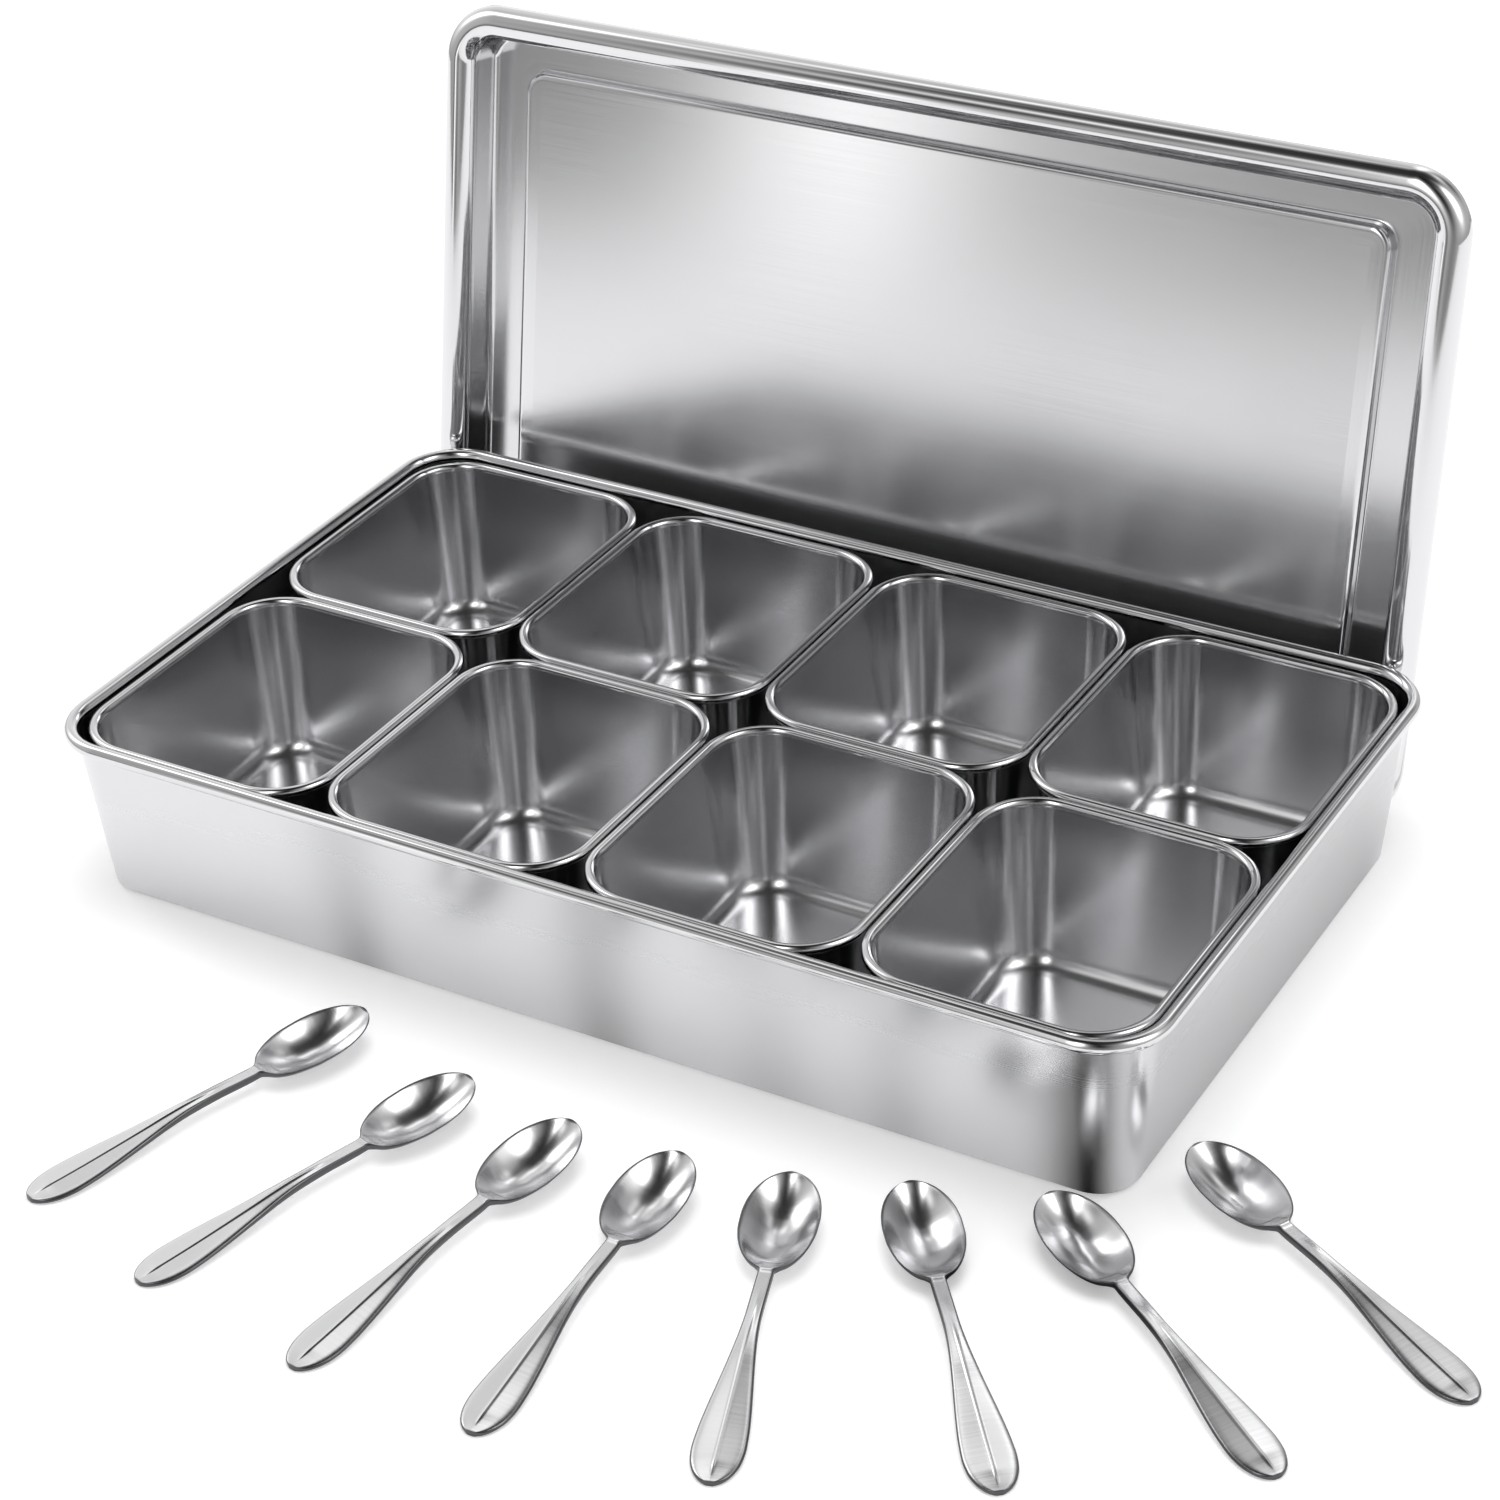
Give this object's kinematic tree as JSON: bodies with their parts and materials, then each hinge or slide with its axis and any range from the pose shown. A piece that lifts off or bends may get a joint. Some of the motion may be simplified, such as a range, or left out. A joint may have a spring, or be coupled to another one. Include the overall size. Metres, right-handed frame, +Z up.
{
  "type": "condiment box",
  "caption": "Low pressed steel tray holding rows of lift-out seasoning pans with rolled rims, its recessed lid stood behind it and matching spoons fanned in front.",
  "frame": {"origin": "centre of the tray's base, on the table", "axes": "+X along the tray's long side to the right, +Y from the spoons to the standing lid, +Z up"},
  "size_m": [0.4745, 0.4118, 0.2071],
  "materials": {
    "tray_steel": "satin outside, polished rolled rim",
    "lid_steel": "finely brushed panel, polished rounded border",
    "pan_steel": "finely brushed inside, polished rolled rim",
    "spoon_steel": "polished"
  },
  "bodies": {
    "tray": {"tray": "tray_steel"},
    "lid": {"lid": "lid_steel"},
    "pan_back_1": {"pan_back_1": "pan_steel"},
    "pan_back_2": {"pan_back_2": "pan_steel"},
    "pan_back_3": {"pan_back_3": "pan_steel"},
    "pan_back_4": {"pan_back_4": "pan_steel"},
    "pan_front_1": {"pan_front_1": "pan_steel"},
    "pan_front_2": {"pan_front_2": "pan_steel"},
    "pan_front_3": {"pan_front_3": "pan_steel"},
    "pan_front_4": {"pan_front_4": "pan_steel"},
    "spoon_1": {"spoon_1": "spoon_steel"},
    "spoon_2": {"spoon_2": "spoon_steel"},
    "spoon_3": {"spoon_3": "spoon_steel"},
    "spoon_4": {"spoon_4": "spoon_steel"},
    "spoon_5": {"spoon_5": "spoon_steel"},
    "spoon_6": {"spoon_6": "spoon_steel"},
    "spoon_7": {"spoon_7": "spoon_steel"},
    "spoon_8": {"spoon_8": "spoon_steel"}
  },
  "joints": [
    {"name": "lid_lift", "type": "slide", "parent": "tray", "child": "lid", "axis": [0, 0.1736, 0.9848], "range_m": [0, 0.1]},
    {"name": "pan_back_1_lift", "type": "slide", "parent": "tray", "child": "pan_back_1", "axis": [0, 0, 1], "range_m": [0, 0.08]},
    {"name": "pan_back_2_lift", "type": "slide", "parent": "tray", "child": "pan_back_2", "axis": [0, 0, 1], "range_m": [0, 0.08]},
    {"name": "pan_back_3_lift", "type": "slide", "parent": "tray", "child": "pan_back_3", "axis": [0, 0, 1], "range_m": [0, 0.08]},
    {"name": "pan_back_4_lift", "type": "slide", "parent": "tray", "child": "pan_back_4", "axis": [0, 0, 1], "range_m": [0, 0.08]},
    {"name": "pan_front_1_lift", "type": "slide", "parent": "tray", "child": "pan_front_1", "axis": [0, 0, 1], "range_m": [0, 0.08]},
    {"name": "pan_front_2_lift", "type": "slide", "parent": "tray", "child": "pan_front_2", "axis": [0, 0, 1], "range_m": [0, 0.08]},
    {"name": "pan_front_3_lift", "type": "slide", "parent": "tray", "child": "pan_front_3", "axis": [0, 0, 1], "range_m": [0, 0.08]},
    {"name": "pan_front_4_lift", "type": "slide", "parent": "tray", "child": "pan_front_4", "axis": [0, 0, 1], "range_m": [0, 0.08]},
    {"name": "spoon_1_lift", "type": "slide", "parent": "tray", "child": "spoon_1", "axis": [0, 0, 1], "range_m": [0, 0.06]},
    {"name": "spoon_2_lift", "type": "slide", "parent": "tray", "child": "spoon_2", "axis": [0, 0, 1], "range_m": [0, 0.06]},
    {"name": "spoon_3_lift", "type": "slide", "parent": "tray", "child": "spoon_3", "axis": [0, 0, 1], "range_m": [0, 0.06]},
    {"name": "spoon_4_lift", "type": "slide", "parent": "tray", "child": "spoon_4", "axis": [0, 0, 1], "range_m": [0, 0.06]},
    {"name": "spoon_5_lift", "type": "slide", "parent": "tray", "child": "spoon_5", "axis": [0, 0, 1], "range_m": [0, 0.06]},
    {"name": "spoon_6_lift", "type": "slide", "parent": "tray", "child": "spoon_6", "axis": [0, 0, 1], "range_m": [0, 0.06]},
    {"name": "spoon_7_lift", "type": "slide", "parent": "tray", "child": "spoon_7", "axis": [0, 0, 1], "range_m": [0, 0.06]},
    {"name": "spoon_8_lift", "type": "slide", "parent": "tray", "child": "spoon_8", "axis": [0, 0, 1], "range_m": [0, 0.06]}
  ]
}
